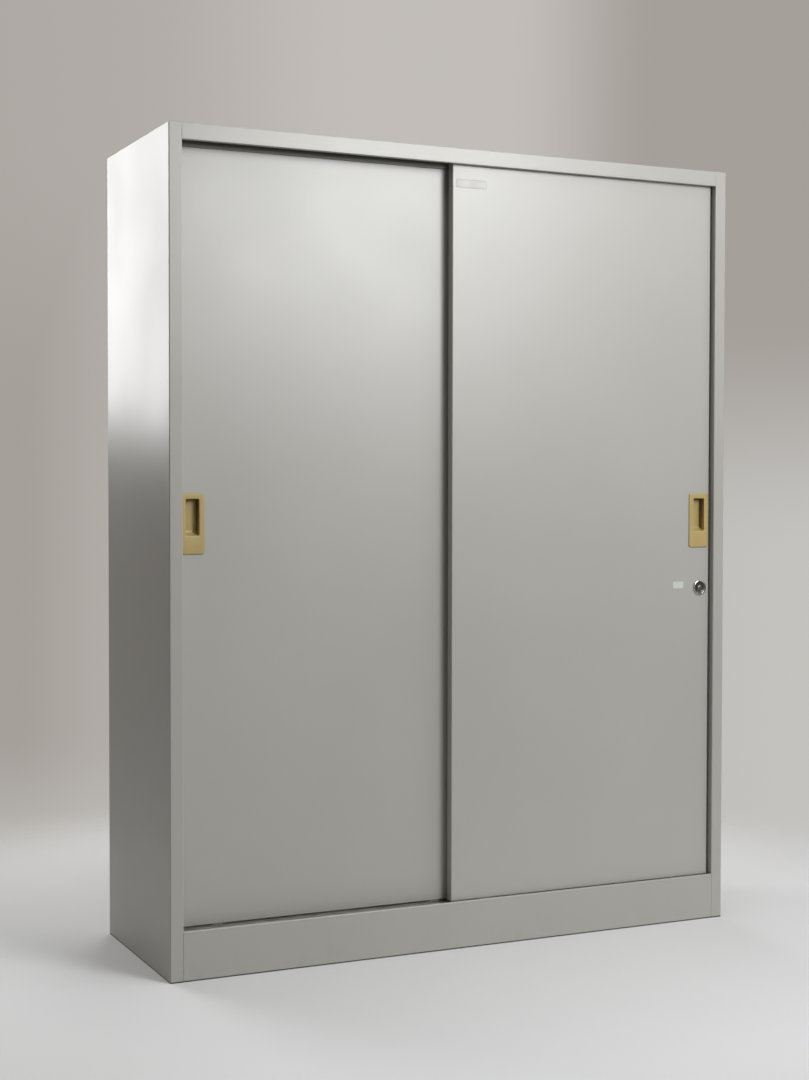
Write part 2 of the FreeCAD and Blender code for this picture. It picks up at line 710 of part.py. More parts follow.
# ---------------------------------------------------------------- lock
def lock_barrel():
    """Lock housing: dished bezel in front, threaded body behind the door's face."""
    bore = PLUG_RADIUS + PLUG_RUN
    profile = [(front_door_y, BEZEL_RADIUS),
               (front_door_y - BEZEL_PROUD, BEZEL_RADIUS),
               (front_door_y - BEZEL_PROUD + BEZEL_DISH, bore),
               (front_door_y + BARREL_LENGTH, bore),
               (front_door_y + BARREL_LENGTH, BARREL_RADIUS),
               (front_door_y, BARREL_RADIUS)]
    return turned(profile, lock_x, lock_z)


def hexagon(flats, start, end):
    """Make a six-sided prism on the lock's axis."""
    radius = flats / 2 / math.cos(math.pi / 6)
    corners = [(lock_x + radius * math.cos(math.pi / 3 * turn),
                lock_z + radius * math.sin(math.pi / 3 * turn), 0) for turn in range(6)]
    return prism("front", corners, start, end)


def lock_nut():
    """Flat hexagon nut that clamps the barrel to the door's face."""
    near = front_door_y + DOOR_SHEET
    nut = hexagon(NUT_FLATS, near, near + NUT_THICKNESS)
    return nut.cut(rod(BARREL_RADIUS, (lock_x, near - DOOR_SHEET, lock_z),
                       (lock_x, near + 2 * NUT_THICKNESS, lock_z)))


def lock_plug():
    """Keyed plug that turns in the barrel."""
    face = front_door_y - BEZEL_PROUD + BEZEL_DISH
    plug = rod(PLUG_RADIUS, (lock_x, face, lock_z), (lock_x, plug_end, lock_z))
    keyway = block((lock_x - KEYWAY_WIDTH / 2, face - KEYWAY_DEPTH, lock_z - KEYWAY_HEIGHT / 2),
                   (lock_x + KEYWAY_WIDTH / 2, face + KEYWAY_DEPTH, lock_z + KEYWAY_HEIGHT / 2))
    return plug.cut(keyway)


def lock_hook():
    """Hook bolt on the plug's tail.  Unlocked, it hangs straight down."""
    arm = HOOK_ARM
    inner = HOOK_REACH - HOOK_NOSE
    locked = [(-arm, -arm, arm - HOOK_ROOM),
              (HOOK_REACH, -arm, HOOK_NOSE),
              (HOOK_REACH, HOOK_RISE, HOOK_NOSE / 3),
              (inner, HOOK_RISE, 0),
              (inner, HOOK_TOP, 0),
              (arm + HOOK_TOP, HOOK_TOP, 0),
              (arm, arm, 0),
              (-arm, arm, arm - HOOK_ROOM)]
    hanging = [(lock_x + v, lock_z - u, radius) for u, v, radius in locked]
    return prism("front", hanging, plug_end, plug_end + HOOK_SHEET)


def hook_screw():
    """Screw head that holds the hook on the plug."""
    start = plug_end + HOOK_SHEET
    return hexagon(HOOK_SCREW_FLATS, start, start + HOOK_SCREW_HEAD)


def strike_plate():
    """Plate welded to the right jamb, round the slot that the hook enters."""
    centre_y = plug_end + HOOK_SHEET / 2
    centre_z = (slot_low + slot_high) / 2
    corners = frame_corners(centre_y, centre_z, STRIKE_WIDTH, STRIKE_LENGTH, 0)
    plate = prism("side", corners, JAMB - STRIKE_SHEET, JAMB)
    return plate.cut(hook_slot(JAMB - 2 * STRIKE_SHEET, JAMB + SHEET))


# ---------------------------------------------------------------- nodes
def door_nodes(side, door_x, door_y, pull_x):
    """Name the pieces that both doors have."""
    nodes = {
        side + "_door_stiffeners": door_stiffeners(door_x, door_y),
        side + "_door_roller_brackets": roller_brackets(door_x, door_y),
        side + "_door_axles": roller_axles(door_x, door_y),
        side + "_door_top_caps": top_caps(door_x, door_y),
        side + "_door_pull": door_pull(pull_x, door_y),
    }
    for number, x in enumerate(roller_places(door_x), start=1):
        nodes[f"{side}_door_roller_{number}"] = roller(x, door_y)
    return nodes


def all_nodes():
    """Name every piece of the cabinet."""
    nodes = {
        "left_side_panel": side_panel(),
        "right_side_panel": right_side_panel(),
        "top_panel": top_panel(),
        "back_panel": back_panel(),
        "front_base": front_base(),
        "track_plate": track_plate(),
        "rear_base": rear_base(),
        "bottom_panel": bottom_panel(),
        "floor_cross_members": cross_members(),
        "front_track_rail": track_rail(front_door_y + DOOR_THICKNESS / 2),
        "rear_track_rail": track_rail(rear_door_y + DOOR_THICKNESS / 2),
        "upper_guide_channel": upper_guide(),
        "upper_centre_guide": centre_guide(),
        "shelf_post_front_left": shelf_post(front_post_y),
        "shelf_post_rear_left": shelf_post(rear_post_y),
        "shelf_post_front_right": mirrored(shelf_post(front_post_y)),
        "shelf_post_rear_right": mirrored(shelf_post(rear_post_y)),
        "shelf_clips": shelf_clips(),
        "jamb_bumpers": jamb_bumpers(),
        "strike_plate": strike_plate(),
        "left_door_pan": door_pan(left_door_x, rear_door_y, left_pull_x),
        "right_door_pan": right_door_pan(),
        "lock_barrel": lock_barrel(),
        "lock_nut": lock_nut(),
        "lock_plug": lock_plug(),
        "lock_hook": lock_hook(),
        "hook_screw": hook_screw(),
    }
    for name, index in zip(("lower_shelf", "middle_shelf", "upper_shelf"), SHELF_SLOTS):
        nodes[name] = shelf(index)
    nodes.update(door_nodes("left", left_door_x, rear_door_y, left_pull_x))
    nodes.update(door_nodes("right", right_door_x, front_door_y, right_pull_x))
    return nodes


def main():
    """Write one STEP file for each node."""
    os.makedirs("parts", exist_ok=True)
    for name, shape in all_nodes().items():
        whole = Part.makeCompound(shape) if isinstance(shape, list) else shape
        whole.exportStep(f"parts/{name}.step")
    print(f"door travel {travel:.1f} mm, rolling radius {rolling_radius:.2f} mm, lock at x {lock_x:.1f} mm")


main()
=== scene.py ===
"""Looks of the steel cabinet with two sliding doors: finishes, pulls, lock, labels, welds, studio and camera.

Lengths are in metres. The front faces -Y, X runs to the right and Z up from the floor.
"""
import json
import logging
import math
from collections.abc import Callable
from dataclasses import dataclass, field
from enum import Enum

import bmesh
import bpy
from mathutils import Matrix, Vector


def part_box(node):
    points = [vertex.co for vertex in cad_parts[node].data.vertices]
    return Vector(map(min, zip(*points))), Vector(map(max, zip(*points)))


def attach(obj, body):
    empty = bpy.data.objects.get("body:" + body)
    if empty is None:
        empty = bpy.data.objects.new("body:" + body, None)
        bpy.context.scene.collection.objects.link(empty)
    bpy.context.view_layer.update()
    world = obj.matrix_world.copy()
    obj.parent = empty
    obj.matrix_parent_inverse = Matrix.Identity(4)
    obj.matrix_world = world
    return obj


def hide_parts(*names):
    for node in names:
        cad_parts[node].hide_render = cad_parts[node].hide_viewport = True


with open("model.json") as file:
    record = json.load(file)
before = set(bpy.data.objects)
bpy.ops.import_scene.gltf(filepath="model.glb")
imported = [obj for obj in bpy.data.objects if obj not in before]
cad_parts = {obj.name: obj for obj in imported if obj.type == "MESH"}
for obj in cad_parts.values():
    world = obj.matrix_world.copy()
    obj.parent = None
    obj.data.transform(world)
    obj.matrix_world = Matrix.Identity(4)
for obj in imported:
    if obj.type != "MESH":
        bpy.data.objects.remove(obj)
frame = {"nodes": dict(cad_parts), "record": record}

log = logging.getLogger("cabinet")

Pair = tuple[float, float]
Point = tuple[float, float, float]
Area = tuple[float, float, float, float]
Ring = list[Vector]
Node = bpy.types.Node
Socket = bpy.types.NodeSocket
Value = Socket | float | tuple[float, ...]
Material = bpy.types.Material
Piece = bpy.types.Object

LOCK_AXIS = (0.549, 0.0, 0.691)
RIGHT_DOOR_FACE = -0.188
MOST_ROUND = 0.999
GUIDES = ("upper_guide_channel", "upper_centre_guide")
SHELVES = ("lower_shelf", "middle_shelf", "upper_shelf")
RAILS = ("front_track_rail", "rear_track_rail")
VECTOR_MATH = "ShaderNodeVectorMath"


class Body(Enum):
    """Rigid bodies of the cabinet."""

    CARCASS = "carcass"
    LEFT_DOOR = "left_door"
    RIGHT_DOOR = "right_door"
    LOCK = "lock_cylinder"


class Slot(Enum):
    """Material slots of the cabinet."""

    CARCASS = "carcass_paint"
    INNER = "inner_paint"
    DOOR = "door_paint"
    TRACK = "track_steel"
    ZINC = "zinc_steel"
    NYLON = "guide_nylon"
    PULL = "pull_plastic"
    RUBBER = "bumper_rubber"
    LOCK = "lock_chrome"


# -------------------- node wiring
class Wiring:
    """Short ways to add and wire the nodes of one tree. Keys such as base_color name their inputs."""

    def __init__(self, tree: bpy.types.NodeTree) -> None:
        """Start from an emptied tree."""
        self.tree = tree
        self.tree.nodes.clear()

    def give(self, target: Socket, value: Value) -> None:
        """Wire or set an input.

        Args:
            target: The input.
            value: The socket that it is wired to, or its constant.
        """
        if isinstance(value, Socket):
            self.tree.links.new(value, target)
        else:
            target.default_value = value

    def fill(self, node: Node, **values: Value) -> None:
        """Give values to the inputs of a node by their keys."""
        for key, value in values.items():
            self.give(node.inputs[key.replace("_", " ").title().replace("Ior", "IOR")], value)

    def node(self, kind: str, *values: Value, **named: Value) -> Node:
        """Add a node.

        Args:
            kind: Type of the node.
            values: Values of its first inputs, in order.
            named: Values of other inputs, by their keys.

        Returns:
            The node.
        """
        node = self.tree.nodes.new(kind)
        for target, value in zip(node.inputs, values):
            self.give(target, value)
        self.fill(node, **named)
        return node

    def span(self, value: Socket, low: float, high: float, out_low: float = 0.0, out_high: float = 1.0,
             smooth: bool = False) -> Socket:
        """Map a value from one range to another, clamped.

        Args:
            value: Socket to map.
            low: Input that gives out_low.
            high: Input that gives out_high.
            out_low: Output at low.
            out_high: Output at high.
            smooth: Whether the ends ease in and out.

        Returns:
            The socket that holds the mapped value.
        """
        mapped = self.node("ShaderNodeMapRange", value, low, high, out_low, out_high)
        mapped.interpolation_type = "SMOOTHSTEP" if smooth else "LINEAR"
        return mapped.outputs["Result"]

    def ramp(self, value: Socket, low: float, high: float, top: float = 1.0) -> Socket:
        """Map a value smoothly to 0..top."""
        return self.span(value, low, high, 0.0, top, smooth=True)

    def math(self, operation: str, *values: Value, kind: str = "ShaderNodeMath") -> Socket:
        """Work out a number.

        Args:
            operation: What is done.
            values: What it is done to.
            kind: Type of the node.

        Returns:
            The socket that holds the number.
        """
        node = self.node(kind, *values)
        node.operation = operation
        return node.outputs["Value"]

    def blend(self, share: Socket, first: Socket | Point, second: Point) -> Socket:
        """Mix two colours.

        Args:
            share: 0 gives the first colour, 1 the second.
            first: A colour or a socket that holds one.
            second: A colour.

        Returns:
            The socket that holds the mixed colour.
        """
        mix = self.node("ShaderNodeMix", share)
        mix.data_type = "RGBA"
        self.give(mix.inputs[6], first if isinstance(first, Socket) else (*first, 1.0))
        self.give(mix.inputs[7], (*second, 1.0))
        return mix.outputs[2]


class Shader(Wiring):
    """A material under construction, with one Principled shader."""

    def __init__(self, name: str) -> None:
        """Start a material.

        Args:
            name: Name of the material.
        """
        self.material = bpy.data.materials.new(name)
        self.material.use_nodes = True
        super().__init__(self.material.node_tree)
        self.body = self.node("ShaderNodeBsdfPrincipled")
        self.output = self.node("ShaderNodeOutputMaterial", self.body.outputs["BSDF"])
        self.place = self.node("ShaderNodeTexCoord").outputs["Object"]

    def set(self, **values: Value) -> None:
        """Give values to the inputs of the Principled shader by their keys."""
        self.fill(self.body, **values)

    def height(self) -> Socket:
        """Give the height above the floor."""
        return self.node("ShaderNodeSeparateXYZ", self.place).outputs["Z"]

    def stretched(self, scale: Point, centre: Point = (0.0, 0.0, 0.0)) -> Socket:
        """Give object coordinates, moved to a centre and scaled along each axis.

        Args:
            scale: Scale along X, Y and Z.
            centre: Point that becomes the origin, before the scale.

        Returns:
            The socket that holds the coordinates.
        """
        mapping = self.node("ShaderNodeMapping", self.place)
        mapping.vector_type = "TEXTURE"
        self.fill(mapping, location=centre, scale=tuple(1.0 / value for value in scale))
        return mapping.outputs["Vector"]

    def noise(self, scale: float, detail: float = 2.0, place: Socket | None = None) -> Socket:
        """Give a noise value from 0 to 1, of so many lumps per metre and octaves."""
        return self.node("ShaderNodeTexNoise", place or self.place, scale=scale, detail=detail).outputs["Fac"]

    def bump(self, height: Socket, strength: float, distance: float, under: Socket | None = None) -> Socket:
        """Turn a height into a bumped normal.

        Args:
            height: Height value.
            strength: Share of the bump.
            distance: Height of the bump.
            under: Normal of a coarser bump below this one.

        Returns:
            The socket that holds the normal.
        """
        bump = self.node("ShaderNodeBump", strength, distance, height=height)
        if under:
            self.fill(bump, normal=under)
        return bump.outputs["Normal"]


# -------------------- finishes
@dataclass(frozen=True)
class Finish:
    """A finish. Its tones are shares of its colour, and its patterns pairs of lumps per metre and octaves."""

    name: str
    colour: Point
    roughness: float

    def tone(self, share: float | Point) -> Point:
        """Scale the colour by a share, or each part of it by its own."""
        shares = share if isinstance(share, tuple) else (share, share, share)
        return tuple(part * own for part, own in zip(self.colour, shares))

    def wire(self, shade: Shader) -> None:
        """Wire a material in the way of this kind of finish."""
        raise NotImplementedError

    def make(self) -> Material:
        """Build the material.

        Returns:
            The finished material.
        """
        shade = Shader(self.name)
        self.wire(shade)
        return shade.material


@dataclass(frozen=True)
class Enamel(Finish):
    """Stove enamel on sheet steel: orange peel, slight waves in the sheet, dust on top, scuffs near the floor and
    a painted contact shadow along the foot.
    """

    peel: float = 0.04
    wave: float = 0.08
    scuff: float = 0.16
    gloss: float = 0.50
    clouds: Pair = (2.3, 4.0)
    flecks: Pair = (900.0, 1.0)
    grime: Pair = (30.0, 6.0)
    smears: Pair = (5.0, 4.0)
    sheet: Pair = (1.9, 1.0)
    orange_peel: Pair = (620.0, 2.0)
    cloud_tones: Pair = (0.975, 1.02)
    fleck_tone: float = 0.55
    scuff_tone: float = 0.42
    scuff_height: Pair = (0.001, 0.045)
    # Painted contact shadow: the lowest few millimetres darken nearly to black where the sheet meets the floor.
    foot_height: Pair = (0.0018, 0.0032)
    foot_shadow_colour: Point = (0.02, 0.02, 0.018)
    dust_height: Pair = (1.5490, 1.5497)
    dust: float = 0.30

    def wire(self, shade: Shader) -> None:
        """Wire the enamel.

        Args:
            shade: Its material.
        """
        height = shade.height()
        colour = shade.blend(shade.span(shade.noise(*self.clouds), 0.35, 0.65), *map(self.tone, self.cloud_tones))
        fleck = shade.span(shade.noise(*self.flecks), 0.70, 0.80, 0.0, 0.08)
        colour = shade.blend(fleck, colour, self.tone(self.fleck_tone))
        low = shade.span(height, *self.scuff_height, 1.0, 0.0)
        grime = shade.span(shade.noise(*self.grime, shade.stretched((1.0, 1.0, 0.6))), 0.56, 0.74)
        scuffs = shade.math("MULTIPLY", shade.math("MULTIPLY", low, grime), self.scuff)
        colour = shade.blend(scuffs, colour, self.tone(self.scuff_tone))
        # Painted contact shadow along the foot, below foot_height.
        colour = shade.blend(shade.span(height, *self.foot_height, 0.95, 0.0), colour, self.foot_shadow_colour)
        smear = shade.span(shade.noise(*self.smears), 0.3, 0.7, self.roughness - 0.02, self.roughness + 0.03)
        dust = shade.span(height, *self.dust_height, 0.0, self.dust)
        sheet = shade.bump(shade.noise(*self.sheet), self.wave, 0.0022)
        shade.set(base_color=colour, roughness=shade.math("ADD", smear, dust), specular_ior_level=self.gloss,
                  normal=shade.bump(shade.noise(*self.orange_peel), self.peel, 0.00012, sheet))


@dataclass(frozen=True)
class BareSteel(Finish):
    """Drawn or zinc plated steel: streaks along one axis, cloudy plating and fine scratches."""

    grain: Point = (1.0, 40.0, 40.0)
    spangle: float = 0.0
    streaks: Pair = (22.0, 4.0)
    clouds: Pair = (160.0, 3.0)
    streak_tones: Pair = (0.82, 1.08)
    warm_tone: Point = (1.02, 0.96, 0.80)

    def wire(self, shade: Shader) -> None:
        """Wire the steel.

        Args:
            shade: Its material.
        """
        streak = shade.noise(*self.streaks, shade.stretched(self.grain))
        colour = shade.blend(shade.span(streak, 0.3, 0.7), *map(self.tone, self.streak_tones))
        cloud = shade.span(shade.noise(*self.clouds), 0.45, 0.75, 0.0, 0.25 + self.spangle)
        shade.set(base_color=shade.blend(cloud, colour, self.tone(self.warm_tone)), metallic=1.0,
                  roughness=shade.span(streak, 0.25, 0.75, self.roughness - 0.07, self.roughness + 0.10),
                  normal=shade.bump(streak, 0.12, 0.00008))


@dataclass(frozen=True)
class Moulding(Finish):
    """Moulded plastic: spark-eroded texture, faint flow marks and rubbed, shinier spots.

    Where it has a shade colour, the mesh's attribute "painted_shade" says how much of it shows: painted shade in
    hollows and painted shadow under edges.
    """

    texture: float = 0.25
    depth: float = 0.0
    grime: float = 0.0
    shade_colour: Point | None = None
    most_shade: float = 0.82
    flow: Pair = (70.0, 3.0)
    dirt: Pair = (260.0, 4.0)
    rubs: Pair = (48.0, 3.0)
    sparks: Pair = (2400.0, 2.0)
    flow_tones: Pair = (0.93, 1.05)
    grime_tone: float = 0.5

    def wire(self, shade: Shader) -> None:
        """Wire the plastic.

        Args:
            shade: Its material.
        """
        flow = shade.noise(*self.flow, shade.stretched((1.0, 1.0, 0.25)))
        colour = shade.blend(shade.span(flow, 0.3, 0.7), *map(self.tone, self.flow_tones))
        dirt = shade.span(shade.noise(*self.dirt), 0.58, 0.74, 0.0, self.grime)
        colour = shade.blend(dirt, colour, self.tone(self.grime_tone))
        # Painted shade: darkens the colour where the mesh's attribute marks it, in place of light that does not
        # reach there.
        if self.shade_colour:
            marks = shade.node("ShaderNodeAttribute")
            marks.attribute_name = "painted_shade"
            painted_shade = shade.span(marks.outputs["Fac"], 0.0, 1.0, 0.0, self.most_shade)
            colour = shade.blend(painted_shade, colour, self.shade_colour)
        rubbed = shade.span(shade.noise(*self.rubs), 0.35, 0.7, self.roughness - 0.10, self.roughness + 0.05)
        shade.set(base_color=colour, roughness=rubbed, specular_ior_level=0.45, subsurface_weight=self.depth,
                  subsurface_scale=0.002, subsurface_radius=(1.0, 0.6, 0.3),
                  normal=shade.bump(shade.noise(*self.sparks), self.texture, 0.00006))


@dataclass(frozen=True)
class TurnedMetal(Finish):
    """Plated metal turned on a lathe: fine rings round an axis that runs front to back."""

    rings: float = 0.15
    axis: Point = LOCK_AXIS
    flattened: Point = (1.0, 0.0001, 1.0)
    turning: Pair = (5200.0, 3.0)
    smudges: Pair = (330.0, 3.0)
    smudge_tone: float = 0.86

    def wire(self, shade: Shader) -> None:
        """Wire the metal.

        Args:
            shade: Its material.
        """
        reach = shade.math("LENGTH", shade.stretched(self.flattened, self.axis), kind=VECTOR_MATH)
        ring = shade.node("ShaderNodeTexNoise")
        ring.noise_dimensions = "1D"
        shade.fill(ring, w=reach, scale=self.turning[0], detail=self.turning[1])
        smudge = shade.noise(*self.smudges)
        dull = self.tone(self.smudge_tone)
        shade.set(base_color=shade.blend(shade.span(smudge, 0.35, 0.7), dull, self.colour), metallic=1.0,
                  roughness=shade.span(smudge, 0.3, 0.75, self.roughness - 0.04, self.roughness + 0.10),
                  normal=shade.bump(ring.outputs["Fac"], self.rings, 0.00004))


@dataclass(frozen=True)
class Film(Finish):
    """Printed film of a bare label, with paper fibres and yellowed spots."""

    gloss: float = 0.50
    fibre_tone: float = 0.96
    yellow_tone: Point = (0.93, 0.90, 0.80)
    fibres: Pair = (1500.0, 4.0)
    stains: Pair = (60.0, 3.0)

    def wire(self, shade: Shader) -> None:
        """Wire the film.

        Args:
            shade: Its material.
        """
        fibre = shade.noise(*self.fibres)
        stain = shade.noise(*self.stains)
        colour = shade.blend(shade.span(fibre, 0.3, 0.7), self.tone(self.fibre_tone), self.colour)
        yellowed = shade.blend(shade.span(stain, 0.5, 0.8, 0.0, 0.3), colour, self.tone(self.yellow_tone))
        shade.set(base_color=yellowed, specular_ior_level=self.gloss, normal=shade.bump(fibre, 0.15, 0.00003),
                  roughness=shade.span(stain, 0.3, 0.7, self.roughness - 0.06, self.roughness + 0.06))


@dataclass(frozen=True)
class Paper(Finish):
    """Studio paper that fades out between two distances from the middle."""

    mottle_tone: float = 0.8
    mottle: Pair = (3.0, 3.0)
    tooth: Pair = (900.0, 2.0)
    fade: Pair = (0.90, 1.65)

    def wire(self, shade: Shader) -> None:
        """Wire the paper.

        Args:
            shade: Its material.
        """
        mottle = shade.span(shade.noise(*self.mottle), 0.3, 0.7, 0.0, 0.06)
        shade.set(base_color=shade.blend(mottle, self.colour, self.tone(self.mottle_tone)),
                  roughness=self.roughness, specular_ior_level=0.25,
                  normal=shade.bump(shade.noise(*self.tooth), 0.08, 0.0002))
        share = shade.ramp(shade.math("LENGTH", shade.place, kind=VECTOR_MATH), *self.fade)
        clear = shade.node("ShaderNodeBsdfTransparent").outputs["BSDF"]
        mix = shade.node("ShaderNodeMixShader", share, shade.body.outputs["BSDF"], clear)
        shade.fill(shade.output, surface=mix.outputs["Shader"])


FINISHES: dict[Slot, Finish] = {
    Slot.CARCASS: Enamel("carcass_enamel", (0.352, 0.343, 0.314), 0.305),
    Slot.INNER: Enamel("inner_enamel", (0.370, 0.360, 0.330), 0.38, peel=0.06, wave=0.06, scuff=0.0),
    Slot.DOOR: Enamel("door_enamel", (0.358, 0.349, 0.320), 0.32, wave=0.10, scuff=0.0, gloss=0.62),
    Slot.TRACK: BareSteel("track_steel", (0.60, 0.59, 0.57), 0.30),
    Slot.ZINC: BareSteel("zinc_plate", (0.58, 0.57, 0.53), 0.34, grain=(8.0, 8.0, 8.0), spangle=0.25),
    Slot.NYLON: Moulding("guide_nylon", (0.70, 0.69, 0.63), 0.42, texture=0.12, depth=0.12, grime=0.35),
    # The pull's dark brown shade colour is painted shade in its pocket and painted shadow under its plate.
    Slot.PULL: Moulding("pull_moulding", (0.385, 0.290, 0.112), 0.40, texture=0.20, grime=0.08,
                        shade_colour=(0.070, 0.040, 0.006)),
    Slot.RUBBER: Moulding("bumper_rubber", (0.022, 0.022, 0.023), 0.62, texture=0.35, grime=0.2),
    Slot.LOCK: TurnedMetal("lock_plating", (0.44, 0.43, 0.41), 0.20),
}
# Painted shade: the upper guide channels get a dark enamel for the shade under the header.
GUIDE_SHADE_ENAMEL = Enamel("guide_painted_shade", (0.150, 0.140, 0.118), 0.45, wave=0.06, scuff=0.0)
LOCK_DISH = TurnedMetal("lock_dish", (0.085, 0.083, 0.080), 0.27, rings=0.3)
LOCK_CORE = TurnedMetal("lock_core", (0.21, 0.205, 0.19), 0.30, rings=0.2)
TAG_FIELD = Film("label_film", (0.50, 0.52, 0.485), 0.55)
TAG_BORDER = Film("label_border", (0.400, 0.415, 0.385), 0.55)
STRIP_FIELD = Film("strip_film", (0.385, 0.378, 0.352), 0.36, gloss=0.62)
STRIP_BORDER = Film("strip_border", (0.340, 0.333, 0.308), 0.40)
STUDIO_PAPER = Paper("studio_paper", (0.68, 0.68, 0.68), 0.7)


# -------------------- mesh helpers
def arc(centre: Pair, radius: float, start: float, end: float, steps: int) -> list[Pair]:
    """Give points on an arc from one angle in degrees to another, ends included."""
    angles = [math.radians(start + (end - start) * step / steps) for step in range(steps + 1)]
    return [(centre[0] + radius * math.cos(angle), centre[1] + radius * math.sin(angle)) for angle in angles]


def circle(centre: Pair, radius: float, steps: int, turned: bool = False) -> list[Pair]:
    """Give points all round a circle, turned by half an edge or not."""
    turn = 180.0 / steps if turned else 0.0
    return arc(centre, radius, turn, turn + 360.0, steps)[:-1]


def upright(points: list[Pair], y: float) -> Ring:
    """Stand points (x, z) up at a place from front to back."""
    return [Vector((x, y, z)) for x, z in points]


def rounded(centre_x: float, low_z: float, high_z: float, half_width: float, radius: float, y: float,
            steps: int = 6) -> Ring:
    """Give an upright ring with rounded corners.

    Args:
        centre_x: Middle of the ring.
        low_z: Its lowest height.
        high_z: Its highest height.
        half_width: Half its width.
        radius: Corner radius.
        y: Its place from front to back.
        steps: Edges in each corner.

    Returns:
        Points counterclockwise, seen from the front.
    """
    radius = min(radius, half_width * MOST_ROUND, (high_z - low_z) / 2 * MOST_ROUND)
    points = []
    for sign, z, start in ((1, high_z - radius, 0.0), (-1, high_z - radius, 90.0), (-1, low_z + radius, 180.0),
                           (1, low_z + radius, 270.0)):
        points += arc((centre_x + sign * (half_width - radius), z), radius, start, start + 90.0, steps)
    return upright(points, y)


def clamped(value: float) -> float:
    """Limit a value to 0..1."""
    return min(max(value, 0.0), 1.0)


def placed(name: str, mesh: bpy.types.Mesh) -> Piece:
    """Make an object of a mesh and link it to the scene.

    Args:
        name: Name of the piece.
        mesh: Its mesh.

    Returns:
        The new object, at the origin.
    """
    thing = bpy.data.objects.new(name, mesh)
    bpy.context.scene.collection.objects.link(thing)
    return thing


def finished(name: str, form: bmesh.types.BMesh, smooth_below: float = 40.0) -> Piece:
    """Turn a form into an object with outward normals and crisp edges above an angle.

    Args:
        name: Name of the piece.
        form: The form, which is freed.
        smooth_below: Edges sharper than this angle in degrees stay crisp.

    Returns:
        The new object, linked to the scene.
    """
    bmesh.ops.remove_doubles(form, verts=form.verts, dist=1e-6)
    bmesh.ops.recalc_face_normals(form, faces=form.faces)
    for face in form.faces:
        face.smooth = True
    for edge in form.edges:
        edge.smooth = len(edge.link_faces) == 2 and edge.calc_face_angle(0.0) < math.radians(smooth_below)
    mesh = bpy.data.meshes.new(name)
    form.to_mesh(mesh)
    form.free()
    return placed(name, mesh)


def skin(name: str, rings: list[Ring], loop: bool = False) -> Piece:
    """Stretch a skin over rings that have as many points each.

    Args:
        name: Name of the piece.
        rings: The rings, in order.
        loop: Join the last ring to the first, instead of filling both.

    Returns:
        The new object, smooth shaded, with its normals outwards.
    """
    form = bmesh.new()
    rows = [[form.verts.new(point) for point in ring] for ring in rings]
    pairs = list(zip(rows, rows[1:])) + ([(rows[-1], rows[0])] if loop else [])
    for near, far in pairs:
        for index in range(len(near)):
            after = (index + 1) % len(near)
            form.faces.new((near[index], near[after], far[after], far[index]))
    if not loop:
        form.faces.new(rows[0][::-1])
        form.faces.new(rows[-1])
    return finished(name, form)


def lathed(name: str, profile: list[Pair], centre: Pair, steps: int) -> Piece:
    """Turn a closed profile of points (radius, y) about an axis at (x, z) that runs front to back."""
    return skin(name, [upright(circle(centre, radius, steps), y) for radius, y in profile], loop=True)


def dress(piece: Piece, material: Material) -> None:
    """Give a piece one material in all its slots.

    Args:
        piece: The piece.
        material: Its finish.
    """
    if not piece.data.materials:
        piece.data.materials.append(material)
    for index in range(len(piece.data.materials)):
        piece.data.materials[index] = material


def inlay(piece: Piece, material: Material, inside: Callable[[Vector], bool]) -> None:
    """Give some faces of a piece their own finish.

    Args:
        piece: The piece.
        material: The finish, which becomes the piece's second.
        inside: Test of a face's centre.
    """
    piece.data.materials.append(material)
    for face in piece.data.polygons:
        face.material_index = int(inside(face.center))


def mount(piece: Piece, body: Body, slot: Slot, *nodes: str) -> None:
    """Put a finished piece on its body.

    Args:
        piece: The piece.
        body: Body that carries it.
        slot: Slot that its finish belongs to; not used.
        nodes: Nodes that the piece stands for.
    """
    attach(piece, body.value)
    if nodes:
        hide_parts(*nodes)
    log.info("%s rides on %s, %d faces", piece.name, body.value, len(piece.data.polygons))


# -------------------- repeated details
@dataclass(frozen=True)
class Row:
    """A straight row of equal details."""

    start: Point
    end: Point
    count: int
    facing: Point


